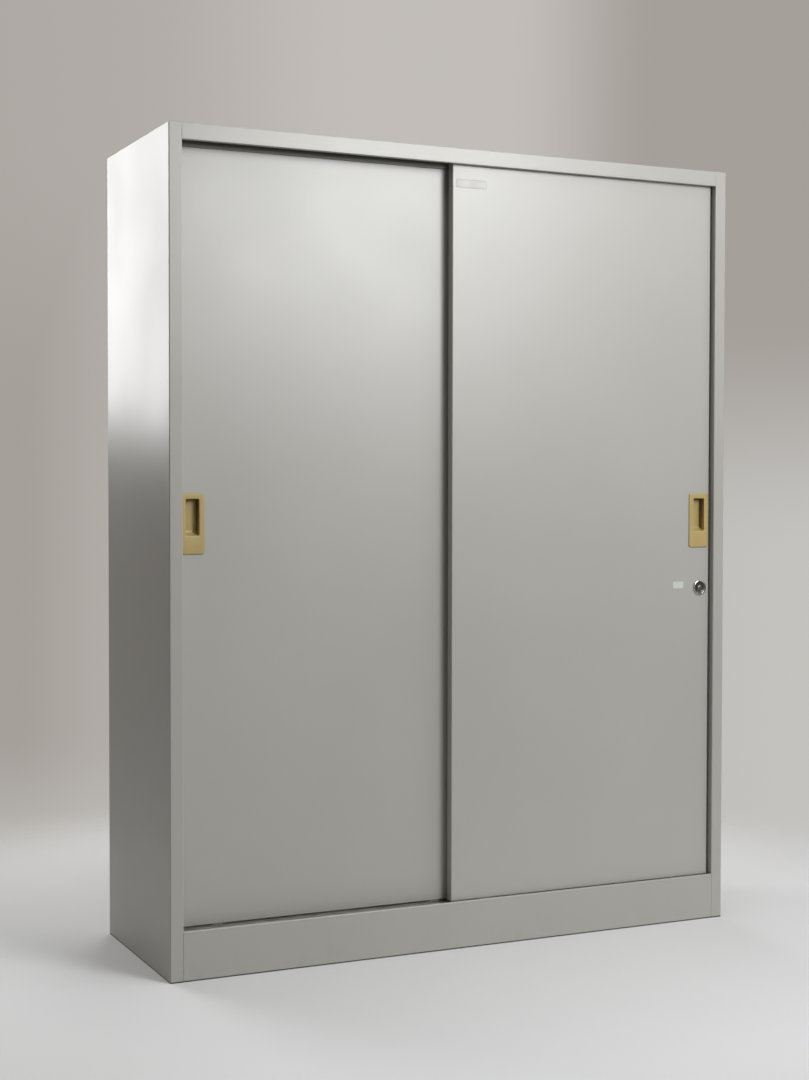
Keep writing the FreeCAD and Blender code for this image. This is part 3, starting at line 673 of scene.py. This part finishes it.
@dataclass
class StudPattern:
    """Geometry Nodes tree that sets low domes along rows, for weld marks."""

    name: str
    radius: float
    height: float
    seed: int = 3
    segments: int = 16
    rings: int = 8
    size_range: Pair = (0.90, 1.06)
    tree: bpy.types.GeometryNodeTree = field(init=False)

    def __post_init__(self) -> None:
        """Build the tree with named inputs."""
        self.tree = bpy.data.node_groups.new(self.name, "GeometryNodeTree")
        face = self.tree.interface
        for label, kind in (("Geometry", "Geometry"), ("Start", "Vector"), ("End", "Vector"), ("Facing", "Vector"),
                            ("Count", "Int"), ("Radius", "Float"), ("Height", "Float"), ("Finish", "Material")):
            face.new_socket(label, in_out="INPUT", socket_type=f"NodeSocket{kind}")
        face.new_socket("Geometry", in_out="OUTPUT", socket_type="NodeSocketGeometry")
        net = Wiring(self.tree)
        given = net.node("NodeGroupInput").outputs
        line = net.node("GeometryNodeMeshLine", given["Count"], start_location=given["Start"], offset=given["End"])
        line.mode = "END_POINTS"
        dome = net.node("GeometryNodeMeshUVSphere", self.segments, self.rings, 1.0)
        size = net.node("ShaderNodeCombineXYZ", given["Radius"], given["Radius"], given["Height"])
        flat = net.node("GeometryNodeTransform", dome.outputs["Mesh"], scale=size.outputs["Vector"])
        turn = net.node("FunctionNodeAlignRotationToVector", vector=given["Facing"])
        vary = net.node("FunctionNodeRandomValue", seed=self.seed)
        vary.inputs[2].default_value, vary.inputs[3].default_value = self.size_range
        copies = net.node("GeometryNodeInstanceOnPoints", line.outputs["Mesh"], instance=flat.outputs["Geometry"],
                          rotation=turn.outputs["Rotation"], scale=vary.outputs[1])
        real = net.node("GeometryNodeRealizeInstances", copies.outputs["Instances"])
        smooth = net.node("GeometryNodeSetShadeSmooth", real.outputs["Geometry"])
        paint = net.node("GeometryNodeSetMaterial", smooth.outputs["Geometry"], material=given["Finish"])
        net.node("NodeGroupOutput", paint.outputs["Geometry"])

    def grow(self, name: str, rows: list[Row], material: Material) -> Piece:
        """Grow the domes of several rows into one plain mesh.

        Args:
            name: Name of the piece.
            rows: The rows.
            material: Finish of the domes.

        Returns:
            The new object.
        """
        form = bmesh.new()
        for row in rows:
            mesh = grown(self.tree, {"Start": row.start, "End": row.end, "Facing": row.facing, "Count": row.count,
                                     "Radius": self.radius, "Height": self.height, "Finish": material})
            form.from_mesh(mesh)
            bpy.data.meshes.remove(mesh)
        mesh = bpy.data.meshes.new(name)
        form.to_mesh(mesh)
        form.free()
        mesh.materials.append(material)
        return placed(name, mesh)


def grown(tree: bpy.types.GeometryNodeTree, values: dict[str, object]) -> bpy.types.Mesh:
    """Run a Geometry Nodes tree with its inputs set and give the plain mesh.

    Args:
        tree: The tree.
        values: Input names and values.

    Returns:
        The mesh that comes out.
    """
    host = placed("host", bpy.data.meshes.new("host"))
    modifier = host.modifiers.new("grow", "NODES")
    modifier.node_group = tree
    for item in tree.interface.items_tree:
        if item.item_type == "SOCKET" and item.in_out == "INPUT" and item.name in values:
            modifier[item.identifier] = values[item.name]
    graph = bpy.context.evaluated_depsgraph_get()
    mesh = bpy.data.meshes.new_from_object(host.evaluated_get(graph))
    host.modifiers.remove(modifier)
    blank = host.data
    bpy.data.objects.remove(host)
    bpy.data.meshes.remove(blank)
    return mesh


# -------------------- sub-assemblies
@dataclass
class DoorPull:
    """Moulded recessed pull: rounded face plate, finger pocket with a scooped lower end, and its cup."""

    side: str
    body: Body
    proud: float = 0.0022
    corner: float = 0.0055
    corner_share: float = 0.5
    edge: float = 0.0014
    edge_steps: int = 7
    back_bevel: float = 0.0003
    foot: float = 0.0007
    foot_step: float = 0.00005
    wall: float = 0.0010
    cup_bevel: float = 0.001
    cup_corners: Pair = (0.0014, 0.0020)
    pocket_half_width: float = 0.0130
    pocket_height: float = 0.0670
    pocket_top: float = 0.0100
    pocket_depth: float = 0.0132
    pocket_corner: float = 0.0026
    pocket_steps: int = 14
    lip: float = 0.0011
    lip_steps: int = 6
    draft: float = 0.0006
    scoop: float = 0.0085
    scoop_narrowing: float = 0.0008
    floor_rim: float = 0.0030
    # Where painted shade goes in the pocket, and the reach of the painted shadow at the plate's foot.
    shade_depth: float = 0.45
    shade_bands: Pair = (0.0012, 0.0006)
    shade_fade: Pair = (0.002, 0.004)
    shadow_skirt: float = 0.0004

    def __post_init__(self) -> None:
        """Read the place of the pull's node: its box, its middle, its seat on the door and its pocket's ends."""
        self.node = f"{self.side}_door_pull"
        self.low, self.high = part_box(self.node)
        self.middle = (self.low.x + self.high.x) / 2
        self.half = (self.high.x - self.low.x) / 2
        self.seat = self.low.y + self.proud
        pocket_high = self.high.z - self.pocket_top
        self.pocket = (pocket_high - self.pocket_height, pocket_high)

    def cup_rings(self) -> list[Ring]:
        """Give the rings of the cup behind the door's face.

        Returns:
            Rings from the cup's back to the plate.
        """
        low, high = self.pocket[0] - self.wall, self.pocket[1] + self.wall
        half, bevel = self.pocket_half_width + self.wall, self.cup_bevel
        sharp, full = self.cup_corners
        return [rounded(self.middle, low + bevel, high - bevel, half - bevel, sharp, self.high.y),
                rounded(self.middle, low, high, half, full, self.high.y - bevel),
                rounded(self.middle, low, high, half, full, self.seat)]

    def plate_rings(self) -> list[Ring]:
        """Give the rings of the plate and of the rounded lip of its pocket.

        Returns:
            Rings from the plate's back, round its edge, to the inside of the lip.
        """
        face, low, high, bevel = self.low.y, self.low.z, self.high.z, self.back_bevel
        rings = [rounded(self.middle, low + bevel, high - bevel, self.half - bevel, self.corner, self.seat),
                 rounded(self.middle, low - self.foot, high - self.foot, self.half, self.corner,
                         self.seat - self.foot_step),
                 rounded(self.middle, low, high, self.half, self.corner, self.seat - bevel)]
        for inset, y in arc((self.edge, face + self.edge), self.edge, 180, 270, self.edge_steps):
            rings.append(rounded(self.middle, low + inset, high - inset, self.half - inset,
                                 self.corner - inset * self.corner_share, y))
        for reach, y in arc((-self.lip, face + self.lip), self.lip, 270, 360, self.lip_steps):
            rings.append(rounded(self.middle, self.pocket[0] + reach, self.pocket[1] - reach,
                                 self.pocket_half_width - reach, self.pocket_corner - reach, y))
        return rings

    def pocket_rings(self) -> list[Ring]:
        """Give the rings of the pocket, whose lower end slopes forward in a curve.

        Returns:
            Rings from below the lip to the pocket's floor.
        """
        low, high = self.pocket
        start = self.low.y + self.lip
        deep = self.seat + self.pocket_depth - self.low.y - self.lip
        rings = []
        for step in range(1, self.pocket_steps + 1):
            share = math.sin(math.pi / 2 * step / self.pocket_steps)
            slope = 1.0 - math.sqrt(1.0 - share ** 2)
            inset = self.draft * share
            rings.append(rounded(self.middle, low + inset + self.scoop * slope, high - inset,
                                 self.pocket_half_width - inset - self.scoop_narrowing * slope,
                                 self.pocket_corner, start + deep * share))
        floor = low + self.draft + self.scoop
        rings.append(rounded(self.middle, floor + self.floor_rim, high - self.floor_rim * 2,
                             self.pocket_half_width - self.floor_rim, self.pocket_corner, rings[-1][0].y))
        return rings

    def painted_shade(self, pull: Piece) -> None:
        """Mark painted shade on the pocket's side and top walls, growing with depth, and a painted shadow at the
        plate's foot.

        Args:
            pull: The pull.
        """
        near = 1e-5
        low, high = self.pocket
        side_band, top_band = self.shade_bands
        start, length = self.shade_fade
        marks = pull.data.attributes.new("painted_shade", "FLOAT", "POINT")
        for vertex in pull.data.vertices:
            across, y, z = abs(vertex.co.x - self.middle), vertex.co.y, vertex.co.z
            inside = across < self.pocket_half_width + near and low - near < z < high + near
            wall = across > self.pocket_half_width - self.draft - side_band or z > high - self.draft - top_band
            if inside and wall:
                depth = clamped((y - self.low.y - self.lip) / (self.pocket_depth * self.shade_depth))
                marks.data[vertex.index].value = depth * clamped((z - low - start) / length)
            elif not inside and y > self.seat - self.shadow_skirt:
                marks.data[vertex.index].value = 1.0

    def make(self, material: Material) -> None:
        """Build the pull in the place of its node.

        Args:
            material: Its finish.
        """
        rings = self.cup_rings() + self.plate_rings() + self.pocket_rings()
        pull = skin(f"{self.side}_moulded_pull", rings)
        self.painted_shade(pull)
        dress(pull, material)
        mount(pull, self.body, Slot.PULL, self.node)


@dataclass
class HookLock:
    """Face of the hook-bolt lock: dished bezel, threaded barrel and keyed plug.

    Tables of steps hold pairs (radius, y), counted from the bore or boss and from the face that they follow.
    """

    centre: Pair = (LOCK_AXIS[0], LOCK_AXIS[2])
    face: float = RIGHT_DOOR_FACE
    bezel: float = 0.0160
    proud: float = 0.0028
    ring: float = 0.0026
    ring_steps: int = 10
    round_steps: int = 128
    bore: float = 0.0076
    mouth: tuple[Pair, ...] = ((0.0, 0.0020), (0.0004, 0.0016))
    dish_start: float = 0.0008
    dish_margin: float = 0.0004
    dish_depths: Pair = (0.0015, 0.0011)
    dish_curve: float = 2.2
    dish_steps: int = 8
    dish_end: Pair = (0.0002, 0.00005)
    barrel: float = 0.0110
    barrel_end: float = -0.176
    shoulder: float = 0.0001
    thread_start: float = 0.0005
    thread_depth: float = 0.0004
    pitch: float = 0.0010
    plug: float = 0.0075
    plug_end: float = -0.1755
    plug_face: float = -0.1892
    plug_bevel: float = 0.0003
    plug_steps: int = 64
    boss: float = 0.0043
    core_spare: Pair = (0.0004, 0.00005)
    boss_steps: tuple[Pair, ...] = ((0.0006, 0.0), (0.0002, -0.0001), (0.0, -0.0005), (-0.0004, -0.0008))
    keyway: Pair = (0.0009, 0.0034)
    keyway_steps: tuple[Pair, ...] = ((0.10, -0.0008), (0.0, -0.0006), (0.0, 0.0050))

    def bezel_profile(self, dish: float) -> list[Pair]:
        """Give the profile of the bezel and its barrel.

        Args:
            dish: Outer radius of the dish.

        Returns:
            Points (radius, y) from the bore's end, over the dish and the ring, back along the thread.
        """
        front = self.face - self.proud
        inner = self.bore + self.dish_start
        deep, rise = self.dish_depths
        profile = [(self.bore, self.barrel_end)]
        profile += [(self.bore + step, front + depth) for step, depth in self.mouth]
        for step in range(1, self.dish_steps + 1):
            share = step / self.dish_steps
            profile.append((inner + (dish - self.bore - self.dish_start) * share,
                            front + deep - rise * share ** self.dish_curve))
        profile.append((dish + self.dish_end[0], front + self.dish_end[1]))
        profile += arc((self.bezel - self.ring, front + self.ring), self.ring, 270, 360, self.ring_steps)
        profile += [(self.bezel, self.face), (self.barrel + self.shoulder, self.face)]
        y = self.face + self.thread_start
        while y + self.pitch < self.barrel_end:
            profile += [(self.barrel - self.thread_depth, y), (self.barrel, y + self.pitch / 2)]
            y += self.pitch
        return profile + [(self.barrel - self.thread_start, self.barrel_end)]

    def keyway_outline(self, spare: float) -> list[Pair]:
        """Give the keyway's outline.

        Args:
            spare: Share by which it is wider than the key's slot.

        Returns:
            As many points (x, z) as the plug's circles have.
        """
        half_width, half_height = self.keyway
        points = []
        for across, up in circle((0.0, 0.0), 1.0, self.plug_steps, True):
            reach = (1 + spare) / max(abs(across) / half_width, abs(up) / half_height)
            points.append((self.centre[0] + across * reach, self.centre[1] + up * reach))
        return points

    def plug_rings(self) -> list[Ring]:
        """Give the rings of the plug: stepped face, raised boss and the keyway cut into it.

        Returns:
            Rings from the plug's back to the bottom of the keyway.
        """
        bevel = self.plug_bevel
        steps = [(self.plug - bevel, self.plug_end), (self.plug, self.plug_end - bevel),
                 (self.plug, self.plug_face + bevel), (self.plug - bevel, self.plug_face)]
        steps += [(self.boss + reach, self.plug_face + depth) for reach, depth in self.boss_steps]
        rings = [upright(circle(self.centre, radius, self.plug_steps, True), y) for radius, y in steps]
        return rings + [upright(self.keyway_outline(spare), self.plug_face + depth)
                        for spare, depth in self.keyway_steps]

    def within(self, radius: float, y: float) -> Callable[[Vector], bool]:
        """Give a test of whether a point lies near the axis and before a place."""
        middle = Vector((self.centre[0], self.centre[1]))
        return lambda point: point.y < y and (point.xz - middle).length < radius

    def make(self, bright: Material, dark: Material, core: Material) -> None:
        """Build the bezel with its barrel, and the plug.

        Args:
            bright: Finish of the bezel's ring and the barrel.
            dark: Finish of the dish and the plug's face.
            core: Finish of the plug's boss.
        """
        dish = self.bezel - self.ring - self.dish_margin
        bezel = lathed("lock_bezel", self.bezel_profile(dish), self.centre, self.round_steps)
        dress(bezel, bright)
        inlay(bezel, dark, self.within(dish, self.face))
        mount(bezel, Body.RIGHT_DOOR, Slot.LOCK, "lock_barrel")
        plug = skin("lock_keyed_plug", self.plug_rings())
        dress(plug, dark)
        inlay(plug, core, self.within(self.boss + self.core_spare[0], self.plug_face + self.core_spare[1]))
        mount(plug, Body.LOCK, Slot.LOCK, "lock_plug")


@dataclass
class BareLabels:
    """Two blank labels on the right door: a name strip and a small one beside the lock.

    An area is its lowest and highest x, then its lowest and highest z.
    """

    face: float = RIGHT_DOOR_FACE
    thickness: float = 0.00035
    strip: Area = (-0.019, 0.047, 1.477, 1.493)
    strip_rim: float = 0.0010
    tag: Area = (0.483, 0.510, 0.6895, 0.7050)
    tag_rim: float = 0.0014
    corner: float = 0.0008
    corner_steps: int = 4
    lift: float = 0.00001
    bevel: float = 0.0001
    sunk: float = 0.00012

    def plate(self, name: str, area: Area, rim: float, film: Material, border: Material) -> None:
        """Build one label with a thin raised rim.

        Args:
            name: Name of the piece.
            area: Where it is.
            rim: Width of the rim.
            film: Finish of its field.
            border: Finish of its rim.
        """
        low_x, high_x, low_z, high_z = area
        middle, half = (low_x + high_x) / 2, (high_x - low_x) / 2
        front = self.face - self.thickness
        steps = ((0.0, self.face - self.lift), (0.0, front + self.bevel), (self.bevel, front), (rim, front),
                 (rim + self.bevel, front + self.sunk))
        label = skin(name, [rounded(middle, low_z + inset, high_z - inset, half - inset, self.corner, y,
                                    self.corner_steps) for inset, y in steps])
        dress(label, border)
        inlay(label, film, lambda point: abs(point.x - middle) < half - rim and point.y < self.face - self.bevel
              and low_z + rim < point.z < high_z - rim)
        mount(label, Body.RIGHT_DOOR, Slot.DOOR)

    def make(self) -> None:
        """Build both labels."""
        self.plate("door_name_strip", self.strip, self.strip_rim, STRIP_FIELD.make(), STRIP_BORDER.make())
        self.plate("key_tag_label", self.tag, self.tag_rim, TAG_FIELD.make(), TAG_BORDER.make())


@dataclass
class Welds:
    """Spot welds of the sheet work, grown along rows."""

    spot: StudPattern = field(default_factory=lambda: StudPattern("weld_spots", 0.0026, 0.00014))
    door_count: int = 14
    door_inset: float = 0.024
    door_reach: float = 0.0185
    door_flange: float = 0.0008
    door_end: float = 0.03
    shelf_count: int = 12
    shelf_reach: float = 0.026
    shelf_flange: float = 0.002
    shelf_end: float = 0.04
    rail_count: int = 12
    rail_floor: float = 0.0012
    rail_end: float = 0.03

    def door_rows(self, side: str) -> list[Row]:
        """Give the rows on one door's stiffener flanges.

        Args:
            side: Side of the door.

        Returns:
            Four upright rows.
        """
        low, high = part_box(f"{side}_door_stiffeners")
        y = low.y + self.door_flange
        rows = []
        for centre in (low.x + self.door_inset, high.x - self.door_inset):
            for x in (centre - self.door_reach, centre + self.door_reach):
                rows.append(Row((x, y, low.z + self.door_end), (x, y, high.z - self.door_end), self.door_count,
                                (0.0, 1.0, 0.0)))
        return rows

    def shelf_rows(self) -> list[Row]:
        """Give the rows under the shelves, on the flanges of their stiffeners.

        Returns:
            Two rows for each shelf.
        """
        rows = []
        for name in SHELVES:
            low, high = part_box(name)
            middle, z = (low.y + high.y) / 2, high.z - self.shelf_flange
            for y in (middle - self.shelf_reach, middle + self.shelf_reach):
                rows.append(Row((low.x + self.shelf_end, y, z), (high.x - self.shelf_end, y, z), self.shelf_count,
                                (0.0, 0.0, -1.0)))
        return rows

    def rail_rows(self) -> list[Row]:
        """Give the rows in the channels of the lower rails.

        Returns:
            One row for each rail.
        """
        rows = []
        for name in RAILS:
            low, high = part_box(name)
            y, z = (low.y + high.y) / 2, low.z + self.rail_floor
            rows.append(Row((low.x + self.rail_end, y, z), (high.x - self.rail_end, y, z), self.rail_count,
                            (0.0, 0.0, 1.0)))
        return rows

    def make(self, paint: Material, inner: Material, steel: Material) -> None:
        """Grow all weld marks.

        Args:
            paint: Finish of the doors.
            inner: Finish of the shelves.
            steel: Finish of the rails.
        """
        for side, body in (("left", Body.LEFT_DOOR), ("right", Body.RIGHT_DOOR)):
            mount(self.spot.grow(f"{side}_door_welds", self.door_rows(side), paint), body, Slot.DOOR)
        mount(self.spot.grow("shelf_welds", self.shelf_rows(), inner), Body.CARCASS, Slot.INNER)
        mount(self.spot.grow("track_welds", self.rail_rows(), steel), Body.CARCASS, Slot.TRACK)


@dataclass
class Cabinet:
    """The whole cabinet: finishes on its nodes, and the pieces that refine them."""

    materials: dict[Slot, Material] = field(default_factory=dict)

    def dress_nodes(self) -> None:
        """Give each node the finish of its slot, and the upper guide's nodes a dark enamel that paints in the
        shade under the header.
        """
        self.materials = {slot: finish.make() for slot, finish in FINISHES.items()}
        slots = {part["node"]: Slot(part["material_slot"]) for part in frame["record"]["subparts"]}
        guide_shade = GUIDE_SHADE_ENAMEL.make()
        for name, thing in frame["nodes"].items():
            dress(thing, guide_shade if name in GUIDES else self.materials[slots[name]])
        log.info("%d nodes dressed", len(frame["nodes"]))

    def make(self) -> None:
        """Build all sub-assemblies."""
        self.dress_nodes()
        for side, body in (("left", Body.LEFT_DOOR), ("right", Body.RIGHT_DOOR)):
            DoorPull(side, body).make(self.materials[Slot.PULL])
        HookLock().make(self.materials[Slot.LOCK], LOCK_DISH.make(), LOCK_CORE.make())
        BareLabels().make()
        Welds().make(self.materials[Slot.DOOR], self.materials[Slot.INNER], self.materials[Slot.TRACK])


# -------------------- studio
@dataclass(frozen=True)
class Softbox:
    """A rectangular studio lamp."""

    name: str
    place: Point
    aim: Point
    size: Pair
    power: float
    colour: Point = (1.0, 1.0, 1.0)

    def make(self) -> None:
        """Build the lamp, out of the camera's sight."""
        lamp = bpy.data.lights.new(self.name, "AREA")
        lamp.shape = "RECTANGLE"
        lamp.size, lamp.size_y = self.size
        lamp.energy = self.power
        lamp.color = self.colour
        thing = placed(self.name, lamp)
        thing.location = self.place
        thing.rotation_euler = (Vector(self.aim) - Vector(self.place)).to_track_quat("-Z", "Z").to_euler()
        thing.visible_camera = False


@dataclass(frozen=True)
class Camera:
    """The camera, with its axes and its lens in millimetres."""

    place: Point = (-1.57029, -3.24522, 0.89661)
    right: Point = (0.90450456, -0.42646125, 0.00152152)
    up: Point = (0.01115833, 0.02723252, 0.99956685)
    ahead: Point = (0.42631796, 0.90409579, -0.02939053)
    lens: float = 58.917
    sensor: float = 36.0

    def make(self) -> None:
        """Build the camera and make it the scene's."""
        data = bpy.data.cameras.new("camera")
        data.lens, data.sensor_width = self.lens, self.sensor
        camera = placed("camera", data)
        turn = Matrix((self.right, self.up, -Vector(self.ahead))).transposed().to_4x4()
        camera.matrix_world = Matrix.Translation(self.place) @ turn
        bpy.context.scene.camera = camera


@dataclass(frozen=True)
class Floor:
    """Round sheet of pale studio paper."""

    paper: Paper = STUDIO_PAPER
    radii: tuple[float, ...] = (0.5, 1.0, 1.7, 2.5)
    steps: int = 96

    def make(self) -> None:
        """Build the floor."""
        form = bmesh.new()
        rows = [[form.verts.new((x, y, 0.0)) for x, y in circle((0.0, 0.0), radius, self.steps)]
                for radius in self.radii]
        form.faces.new(rows[0])
        for near, far in zip(rows, rows[1:]):
            for index in range(self.steps):
                after = (index + 1) % self.steps
                form.faces.new((near[index], far[index], far[after], near[after]))
        floor = finished("studio_floor", form)
        dress(floor, self.paper.make())


@dataclass(frozen=True)
class Surroundings:
    """Pale graded wall with painted pools of light, seen directly and in reflections, and a soft fill light that
    nothing shows.

    Each range runs from none of a tone to all of it. Those called across follow the heading along the
    camera's right, and the others its height.
    """

    right: Point = Camera.right
    wall: Point = (0.376, 0.349, 0.322)
    painted_light_wall: Point = (0.535, 0.508, 0.482)
    bright_wall: Point = (0.552, 0.543, 0.525)
    lower_across: Pair = (-0.10, 0.24)
    lower_height: Pair = (0.10, -0.04)
    foot_height: Pair = (-0.13, -0.24)
    flanks_across: tuple[Point, ...] = ((-0.42, -0.10, 0.42), (-0.15, -0.02, 0.58))
    hill_across: Pair = (0.138, 0.055)
    hill_height: Pair = (0.03, 0.19)
    glow_across: Point = (-0.215, -0.165, 0.35)
    glow_end_across: Pair = (0.10, -0.05)
    fill_colour: Point = (1.0, 0.99, 0.97)
    fill_heading: Pair = (-0.9, 0.1)
    fill: Pair = (0.090, 0.150)

    def tone(self, air: Wiring, heading: Socket, height: Socket) -> Socket:
        """Grade the wall: painted light makes it brighter above the middle and at the lower right, and it grows
        paler down at the floor.

        Args:
            air: Tree of the world.
            heading: Socket that holds the direction of view.
            height: Socket that holds its upward part.

        Returns:
            The socket that holds the wall's colour.
        """
        across = air.math("DOT_PRODUCT", heading, self.right, kind=VECTOR_MATH)
        flank = air.math("ADD", *(air.ramp(across, *reach) for reach in self.flanks_across))
        hill = air.math("MULTIPLY", air.ramp(across, *self.hill_across), flank)
        upper = air.math("MULTIPLY", air.ramp(height, *self.hill_height), hill)
        glow = air.math("MULTIPLY", air.ramp(across, *self.glow_across), air.ramp(across, *self.glow_end_across))
        # Painted pool of light on the wall above the middle.
        warm = air.blend(air.math("MAXIMUM", upper, glow), self.wall, self.painted_light_wall)
        # Painted light at the lower right, and the paler tone toward the floor.
        lower = air.math("MULTIPLY", air.ramp(across, *self.lower_across), air.ramp(height, *self.lower_height))
        pale = air.math("MAXIMUM", lower, air.ramp(height, *self.foot_height))
        return air.blend(pale, warm, self.bright_wall)

    def make(self) -> None:
        """Build the world."""
        world = bpy.data.worlds.new("studio_air")
        world.use_nodes = True
        bpy.context.scene.world = world
        air = Wiring(world.node_tree)
        heading = air.node("ShaderNodeTexCoord").outputs["Generated"]
        parts = air.node("ShaderNodeSeparateXYZ", heading).outputs
        path = air.node("ShaderNodeLightPath").outputs
        seen = air.math("MAXIMUM", air.math("MAXIMUM", path["Is Camera Ray"], path["Is Glossy Ray"]),
                        path["Is Transmission Ray"])
        fill = air.node("ShaderNodeBackground", (*self.fill_colour, 1.0),
                        air.span(parts["X"], *self.fill_heading, *self.fill))
        wall = air.node("ShaderNodeBackground", self.tone(air, heading, parts["Z"]))
        mix = air.node("ShaderNodeMixShader", seen, fill.outputs[0], wall.outputs[0])
        air.node("ShaderNodeOutputWorld", mix.outputs[0])


@dataclass(frozen=True)
class Studio:
    """Floor, surroundings, lamps and camera."""

    lamps: tuple[Softbox, ...] = (
        Softbox("key_softbox", (1.04, -2.7, 2.12), (0.0, -0.17, 1.0), (1.18, 1.58), 76.0, (0.975, 0.987, 1.0)),
        Softbox("left_softbox", (-1.25, 2.0, 1.93), (-0.8, 0.0, 1.35), (1.2, 1.76), 29.0),
        Softbox("right_softbox", (3.0, -1.8, 2.0), (0.2, -0.2, 0.9), (1.2, 1.6), 18.0),
        Softbox("overhead", (0.0, -0.4, 3.3), (0.0, -0.2, 0.0), (2.6, 2.4), 36.0),
        Softbox("back_softbox", (0.55, 1.9, 1.6), (0.5, 0.6, 0.0), (1.2, 0.9), 16.0),
    )

    def make(self) -> None:
        """Build the whole studio."""
        bpy.context.scene.view_settings.view_transform = "Standard"
        for part in (Camera(), Floor(), Surroundings(), *self.lamps):
            part.make()
        log.info("studio with %d lamps", len(self.lamps))


def main() -> None:
    """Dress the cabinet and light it."""
    logging.basicConfig(level=logging.INFO, format="%(name)s: %(message)s")
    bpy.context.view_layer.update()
    Cabinet().make()
    Studio().make()


if __name__ == "__main__":
    main()
